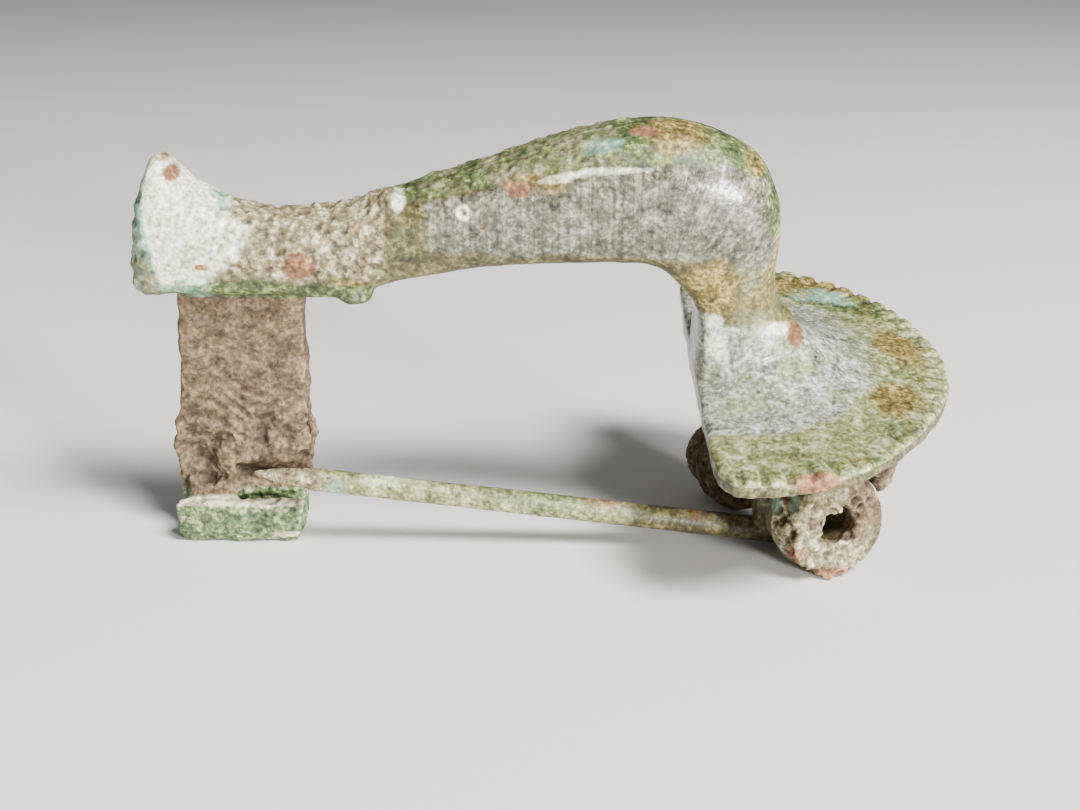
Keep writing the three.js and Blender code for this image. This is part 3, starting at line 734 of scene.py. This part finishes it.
# %% [markdown]
# ## The casting
#
# The bow, foot, catch plate, head plate and lug were cast in one. A voxel skin joins the CAD solid
# with the lumps of earth and crust that sit on it and gives it even, small faces. Grains are
# scattered over the crust and skinned again, and then the relief tree works on the result. A plain
# subdivision would keep the CAD solid's uneven triangles, and grains would only poke through them.

# %% The casting's relief, in mm
CASTING_VOXEL = 0.11
CASTING_FACES = 190000
CASTING_SMOOTHING = 8
# Grains to a square mm of full crust, the radius of the largest, and height as a share of width.
CRUST_GRAINS = {"density": 3.0, "size": 0.24, "flatness": 0.6}
# Each lump is x, y, z and its radius along each of them.
EARTH_LUMPS = (
    # in and above the hook's channel
    (-16.9, -1.1, 2.1, 0.8, 0.6, 0.6),
    (-15.9, -1.0, 2.3, 0.9, 0.6, 0.8),
    (-15.2, -0.8, 3.0, 0.5, 0.5, 0.9),
    # on the front of the catch plate
    (-15.4, -0.7, 4.3, 0.6, 0.5, 0.9),
    (-16.0, -0.5, 6.2, 1.3, 0.5, 0.8),
    (-17.6, -0.4, 5.7, 0.4, 0.5, 0.9),
    (-13.0, -0.5, 4.6, 1.4, 0.5, 1.2),
    (-14.6, -0.5, 5.0, 0.9, 0.6, 1.4),
    (-17.2, -0.9, 2.9, 0.4, 0.5, 0.7),
    # on the lug's hook
    (16.8, -1.4, 3.9, 0.6, 0.7, 1.1),
    (16.5, -2.2, 5.4, 0.8, 0.8, 1.4),
    (15.8, -3.2, 7.6, 1.3, 1.2, 0.8),
    # at the two ends of the crust on the bow
    (-6.7, -0.7, 17.9, 0.5, 0.8, 0.6),
    (-8.6, -0.9, 13.4, 0.9, 0.9, 0.5),
)
# Each of the places below is x, y, z, its reach along each of them, and a depth or strength.
CASTING_HOLLOWS = (
    (-16.9, -0.9, 4.5, 0.55, 0.8, 0.8, 0.45),  # in the earth, at the left of the catch plate
    (-13.7, -0.8, 3.1, 1.2, 1.2, 0.45, 0.55),  # where the point of the pin lies
    (-13.7, -0.6, 5.6, 0.3, 0.6, 0.8, 0.3),
    (-3.4, -2.0, 17.87, 0.16, 0.5, 0.16, 0.28),  # the pit in the bow's side
    (-11.9, -1.6, 15.6, 0.25, 0.6, 0.25, 0.2),
    (-12.6, -1.6, 15.7, 0.2, 0.6, 0.2, 0.2),
)
EARTH_LAYERS = (-14.8, -0.6, 6.6, 1.8, 0.8, 1.6, 0.07)
FOOT_KNOBS = (-17.9, -1, 16, 0.5, 2.5, 3, 1)
FOOT_KNOB_HEIGHT = 0.05
PIT_RIM = (-3.4, -2.0, 17.87, 0.36, 0.5, 0.36, 1)
PIT_RIM_HEIGHT = 0.06
# Each layer: its pattern, kind of patina, spacing, detail or fill, and height.
CASTING_RELIEF = (
    ("noise", "", 3.5, 2.0, 0.22),
    ("noise", "", 0.7, 2.0, 0.06),
    ("noise", "crust", 0.9, 3.0, 0.5),
    ("grains", "crust", 0.42, 0.75, 0.14),
    ("pits", "crust", 0.85, 0.42, -0.2),
    ("noise", "green", 0.45, 2.0, 0.09),
    ("pits", "green", 0.7, 0.3, -0.07),
    ("noise", "chalk_and_highlight", 0.6, 3.0, 0.14),
    ("noise", "earth_and_shade", 1.8, 3.0, 0.5),
    ("noise", "rough", 0.9, 4.0, 0.6),
    ("pits", "rough", 1.6, 0.35, -0.2),
    ("noise", "hook", 1.1, 3.0, 0.6),
)


def casting_mounds(mesh):
    """The larger hollows, swellings and layers of earth, in mm."""
    p = places_of(mesh)
    x, _, z = p.T
    layers = spots(p, EARTH_LAYERS) * np.sin(9 * (0.55 * x + z + 0.25 * np.sin(2.1 * x)))
    knobs = FOOT_KNOB_HEIGHT * spots(p, FOOT_KNOBS) * np.sin(7.5 * z + np.sin(3 * z))
    rim = PIT_RIM_HEIGHT * spots(p, PIT_RIM)
    return layers + knobs + rim - spots(p, *CASTING_HOLLOWS)


# %% The casting
def crispness(r):
    """How much of its edges each region keeps when the facets are evened out."""
    rim = step(r["rim"], 1.5, 0.8) * step(r["points"][:, 2], 10, 9.5)
    kept = [0.8 * rim, 0.6 * r["collar"], 0.5 * r["catch"], 0.7 * r["slim"], 0.6 * r["below"]]
    return np.maximum.reduce(kept)


def make_casting(material):
    base = fused(with_lumps(in_brooch("casting"), EARTH_LUMPS), CASTING_VOXEL)
    casting_patina(base)
    mesh = fused(run_tree(base, grain_tree("crust grains", "crust", **CRUST_GRAINS)), CASTING_VOXEL)
    casting_patina(mesh)
    r = casting_regions(mesh)
    nicked = r["top"] * step(r["rim"], 1.5, 0.9) * step(r["points"][:, 0], 7.6, 8.4)
    store(mesh, smooth=1 - crispness(r), nicked=nicked, mound=casting_mounds(mesh))
    relief = relief_tree("casting relief", CASTING_RELIEF, with_nicks=True)
    shaped = thinned(run_tree(mesh, relief, smoothing=CASTING_SMOOTHING), CASTING_FACES)
    return on_scene(shaped, "cast_bronze", "brooch", "casting", material)


make_casting(patina_material("patina on bronze", marks=2.2))

# %% [markdown]
# ## The spring
#
# The spring is wire wound round an iron axis, several turns on each side of the pin. The iron is
# gone and the turns have corroded to one lump, in which they barely show. It stands askew: its own
# axis is level, and turned in plan. So it is built along its own axis, as windings over a sleeve,
# and then put in place. Its open ends are spongy with rust, which is a scatter of small lumps.

# %% The spring's sizes and patina, in mm
SPRING_TURN = math.radians(20.5)
WIRE = 1.25
BORE_RADIUS = 0.95
SLEEVE_INSET = 0.3  # how far the sleeve's outside lies under the outside of the windings
WORN_FLAT = 0.08  # what is worn off the underside, on which the spring rests
SPRING_VOXEL = 0.085
RUST_SPONGE = {"density": 1.6, "size": 0.4, "flatness": 0.6}
# Each side: where it starts and ends across the brooch, and its radius.
SPRING_SIDES = ((-3.5, -6.2, 2.7), (1.95, 5.55, 2.34))
CHORD_RADIUS = 0.6
CHORD_ROUTE = (
    (14.7, -5.15, 2.7),
    (15.7, -4.15, 2.7),
    (15.9, -2.5, 2.7),
    (15.7, 2.1, 2.7),
    (13.7, 3.3, 2.6),
    (11.3, 4.3, 2.3),
)
SPRING_RELIEF = (
    ("noise", "", 1.6, 4.0, 0.3),
    ("noise", "crust", 0.5, 3.0, 0.2),
    ("pits", "sponge", 0.75, 0.5, -0.5),
    ("grains", "sponge", 0.5, 0.7, 0.15),
    ("pits", "crust", 1.1, 0.3, -0.12),
)
SPRING_PATCHES = {
    "earth_and_shade": (
        (15.2, -5.2, 4.6, 1.4, 1.6, 1.6, 0.9),  # the upper part of the near end
        (14.6, -5.3, 3.3, 1.0, 1.4, 1.0, 1.0),  # round its hole
    ),
    "rust": (
        (13.6, -6.5, 1.2, 1.6, 1, 0.8, 1),  # the lower edge of the near end
        (11.9, -6.6, 2.6, 0.6, 1, 0.8, 0.8),
        (11.6, -5, 5, 0.3, 1, 3, 0.6),
        (15.6, -5.2, 5, 0.8, 1.2, 2, 0.7),
    ),
    "verdigris": (
        (11.2, -4.6, 4.4, 0.35, 1.2, 2.2, 0.75),  # stripes along the turns
        (11.9, -5.6, 4.6, 0.3, 1, 2.0, 0.6),
        (8.3, 2.6, 4, 0.5, 1, 0.8, 0.6),
    ),
    "green": ((10.5, -4.3, 3.2, 1.0, 1, 2.4, 0.7),),
    "chalk_and_highlight": ((12.9, -6.4, 3.2, 0.7, 0.8, 0.7, 0.6),),
}


# %% The windings
def spring_tree():
    """One side of the spring, along Z from 0: a sleeve with a bore, and the wire wound round it."""
    tree, given = geometry_tree("spring windings", radius=2.7, length=2.8, turns=2.2)
    radius, length = given["radius"], given["length"]
    middle = math_node(tree, "MULTIPLY", math_node(tree, "ADD", radius, BORE_RADIUS - SLEEVE_INSET), 0.5)
    wall = math_node(tree, "SUBTRACT", radius, BORE_RADIUS + SLEEVE_INSET)
    path = add(tree, "GeometryNodeCurvePrimitiveCircle", {"Resolution": 72, "Radius": middle}).outputs[0]
    section = add(tree, "GeometryNodeCurvePrimitiveQuadrilateral", {"Width": wall, "Height": length})
    ring = {"Curve": path, "Profile Curve": section.outputs[0]}
    sleeve = add(tree, "GeometryNodeCurveToMesh", ring).outputs[0]
    half = add(tree, "ShaderNodeCombineXYZ", {2: math_node(tree, "MULTIPLY", length, 0.5)}).outputs[0]
    raised = add(tree, "GeometryNodeTransform", {"Geometry": sleeve, "Translation": half})
    wound = math_node(tree, "SUBTRACT", radius, WIRE / 2)
    sizes = {"Resolution": 48, "Rotations": given["turns"], "Start Radius": wound, "End Radius": wound}
    sizes["Height"] = math_node(tree, "SUBTRACT", length, WIRE)
    helix = add(tree, "GeometryNodeCurveSpiral", sizes).outputs[0]
    wire = add(tree, "GeometryNodeCurvePrimitiveCircle", {"Resolution": 16, "Radius": WIRE / 2}).outputs[0]
    coil = add(tree, "GeometryNodeCurveToMesh", {"Curve": helix, "Profile Curve": wire, "Fill Caps": True})
    turns = add(tree, "GeometryNodeTransform", {"Geometry": coil.outputs[0], "Translation": (0, 0, WIRE / 2)})
    both = add(tree, "GeometryNodeJoinGeometry")
    tree.links.new(raised.outputs[0], both.inputs[0])
    tree.links.new(turns.outputs[0], both.inputs[0])
    finish_tree(tree, both.outputs[0])
    return tree


def wire_mesh(route, radius):
    """A round wire through places in brooch coordinates."""
    curve = bpy.data.curves.new("wire", "CURVE")
    curve.dimensions = "3D"
    curve.bevel_depth = radius
    curve.use_fill_caps = True
    spline = curve.splines.new("NURBS")
    spline.points.add(len(route) - 1)
    for point, place in zip(spline.points, route):
        point.co = (*place, 1)
    spline.use_endpoint_u = True
    worker = bpy.data.objects.new("wire", curve)
    mesh = bpy.data.meshes.new_from_object(worker)
    bpy.data.objects.remove(worker)
    return mesh


def level_across(y):
    """How far from the middle of the hinge a place across the brooch is, measured level, in mm."""
    return (y - hinge_place.y) * math.cos(lean)


def spring_place(start, end, radius):
    """The matrix that puts a side of the spring in its place, in brooch coordinates."""
    across = level_across(start)
    axis_x = hinge_mm.x - across * math.tan(SPRING_TURN)
    middle = Vector((axis_x, hinge_mm.y + across, radius - WORN_FLAT))
    outward = math.copysign(1, end - start)
    axis = Vector((-math.sin(SPRING_TURN), math.cos(SPRING_TURN), 0)) * outward
    turned = axis.to_track_quat("Z", "Y").to_matrix().to_4x4()
    return to_brooch @ Matrix.Scale(1 / MM, 4) @ Matrix.Translation(middle) @ turned


# %% The spring
def level_y(points):
    """Where points in brooch coordinates are along the frame's y, in mm."""
    turned = np.array(to_frame) * MM
    return (points @ turned[:3, :3].T + turned[:3, 3])[:, 1]


def spring_patina(mesh):
    p = places_of(mesh)
    near_end_y = hinge_mm.y + level_across(SPRING_SIDES[0][1])
    near_end = step(level_y(p), near_end_y + 0.75, near_end_y + 0.35)
    far = step(p[:, 1], 0, 1)
    patch = {kind: spots(p, *places) for kind, places in SPRING_PATCHES.items()}
    patch["earth_and_shade"] += 0.75 * far
    store(mesh, **{kind: np.clip(values, 0, 1) for kind, values in patch.items()})
    store(
        mesh,
        sponge=near_end,
        crust=np.clip(0.75 * near_end + 0.85 * far + 0.35, 0, 1),
        smooth=1 - 0.6 * near_end,
        mound=np.zeros(len(p)),
    )


def make_spring(material):
    tree = spring_tree()
    parts = [wire_mesh(CHORD_ROUTE, CHORD_RADIUS)]
    for start, end, radius in SPRING_SIDES:
        length = abs(end - start) * math.cos(lean) / math.cos(SPRING_TURN)
        empty = bpy.data.meshes.new("empty")
        side = run_tree(empty, tree, radius=radius, length=length, turns=(length - WIRE) / WIRE)
        side.transform(spring_place(start, end, radius))
        parts.append(side)
    base = fused(joined(parts), SPRING_VOXEL)
    spring_patina(base)
    mesh = fused(run_tree(base, grain_tree("rust sponge", "sponge", **RUST_SPONGE)), SPRING_VOXEL)
    spring_patina(mesh)
    shaped = run_tree(mesh, relief_tree("spring relief", SPRING_RELIEF))
    return on_scene(shaped, "corroded_spring", "brooch", "spring", material)


make_spring(patina_material("crusted wire"))

# %% [markdown]
# ## The pin
#
# The pin is one wire with the spring on the real brooch: its last turn springs out straight, and
# tapers to a point. It is the smoothest piece, because wire is drawn or hammered. Only its tip is
# sandy with crust, where it lay against the catch plate.

# %% The pin, in mm
PIN_VOXEL = 0.07
SANDY_FROM_X, SANDY_TO_X = -9.8, -11.4
PIN_RELIEF = (
    ("noise", "", 1.5, 3.0, 0.08),
    ("noise", "crust", 0.35, 3.0, 0.16),
)
PIN_PATCHES = {
    # earth, and painted shadow: the pin is darkened towards the spring, where the head plate shades it
    "earth_and_shade": ((8.5, -2.5, 2.5, 3, 2, 1.5, 0.5),),
    "green": ((2, -2.5, 3.4, 6, 2, 2, 0.3),),
    "verdigris": ((-9.9, -2.5, 3.9, 0.7, 1, 0.6, 1), (-5.5, -2.5, 3.6, 2, 1, 0.5, 0.4)),
    "rust": ((3, -2.5, 2.6, 2.2, 1, 1, 0.6), (7.8, -2.5, 2.2, 0.8, 1, 0.5, 0.6)),
    # a painted highlight: a pale strip along the pin's upper side
    "chalk_and_highlight": ((-7, -2.5, 4.2, 3.5, 1, 0.4, 0.55),),
}


def make_pin(material):
    mesh = fused(in_brooch("pin"), PIN_VOXEL)
    p = places_of(mesh)
    x = p[:, 0]
    sandy = step(x, SANDY_FROM_X, SANDY_TO_X)
    patch = {kind: spots(p, *places) for kind, places in PIN_PATCHES.items()}
    patch["earth_and_shade"] += 0.45 * sandy
    patch["green"] += 0.2
    store(mesh, **patch)
    store(
        mesh,
        crust=sandy,
        sage=0.8 * step(x, 8, 2),
        # painted light: the pin is paler towards the catch plate, away from the head plate's shadow
        silver=0.5 * step(x, 4, 0),
        smooth=step(x, -13.2, -11),
        mound=np.zeros(len(p)),
    )
    shaped = run_tree(mesh, relief_tree("pin relief", PIN_RELIEF))
    return on_scene(shaped, "wire_pin", "pin", "pin", material)


make_pin(patina_material("patina on wire"))

# %% [markdown]
# ## Light and floor
#
# A small thing is shown best on a pale sheet of card in soft light, as on a museum's photo stand.
# The large box of light stands high at the right front, and models the bow and the head plate. The
# small one stands low beside it. It makes the one bright spot on the knee, which tells the eye
# that this patina is smooth, and the rest of it crusty.

# %% Floor
FLOOR_HALF = 1.5  # in metres
CARD_COLOUR, CARD_ROUGHNESS = "#e6e4e0", 0.9


def make_floor():
    material = bpy.data.materials.new("pale card")
    material.use_nodes = True
    shader = material.node_tree.nodes["Principled BSDF"]
    shader.inputs["Base Color"].default_value = linear(CARD_COLOUR)
    shader.inputs["Roughness"].default_value = CARD_ROUGHNESS
    mesh = bpy.data.meshes.new("floor")
    corners = [(x * FLOOR_HALF, y * FLOOR_HALF, 0) for x, y in ((-1, -1), (1, -1), (1, 1), (-1, 1))]
    mesh.from_pydata(corners, [], [(0, 1, 2, 3)])
    mesh.materials.append(material)
    floor = bpy.data.objects.new("floor", mesh)
    bpy.context.scene.collection.objects.link(floor)
    print("floor", 2 * FLOOR_HALF, "m wide")


make_floor()

# %% Lights
LIT_PLACE = Vector((0, 0, 0.01))
# Each box of light: its name, where it stands, its width in metres and its power in watts.
SOFT_BOXES = (
    ("key", (0.16, -0.2, 0.3), 0.12, 3.8),
    ("front", (0.19, -0.25, 0.035), 0.045, 2.9),
)
ROOM_COLOUR, ROOM_STRENGTH = "#f2f4f6", 0.22


def soft_box(name, place, size, watts):
    light = bpy.data.lights.new(name, "AREA")
    light.shape = "SQUARE"
    light.size = size
    light.energy = watts
    box = bpy.data.objects.new(name, light)
    box.location = place
    box.rotation_euler = (LIT_PLACE - Vector(place)).to_track_quat("-Z", "Y").to_euler()
    bpy.context.scene.collection.objects.link(box)
    print("light", name, watts, "W")


for name, place, size, watts in SOFT_BOXES:
    soft_box(name, place, size, watts)
world = bpy.data.worlds.new("room")
world.use_nodes = True
background = world.node_tree.nodes["Background"]
background.inputs["Color"].default_value = linear(ROOM_COLOUR)
background.inputs["Strength"].default_value = ROOM_STRENGTH
bpy.context.scene.world = world
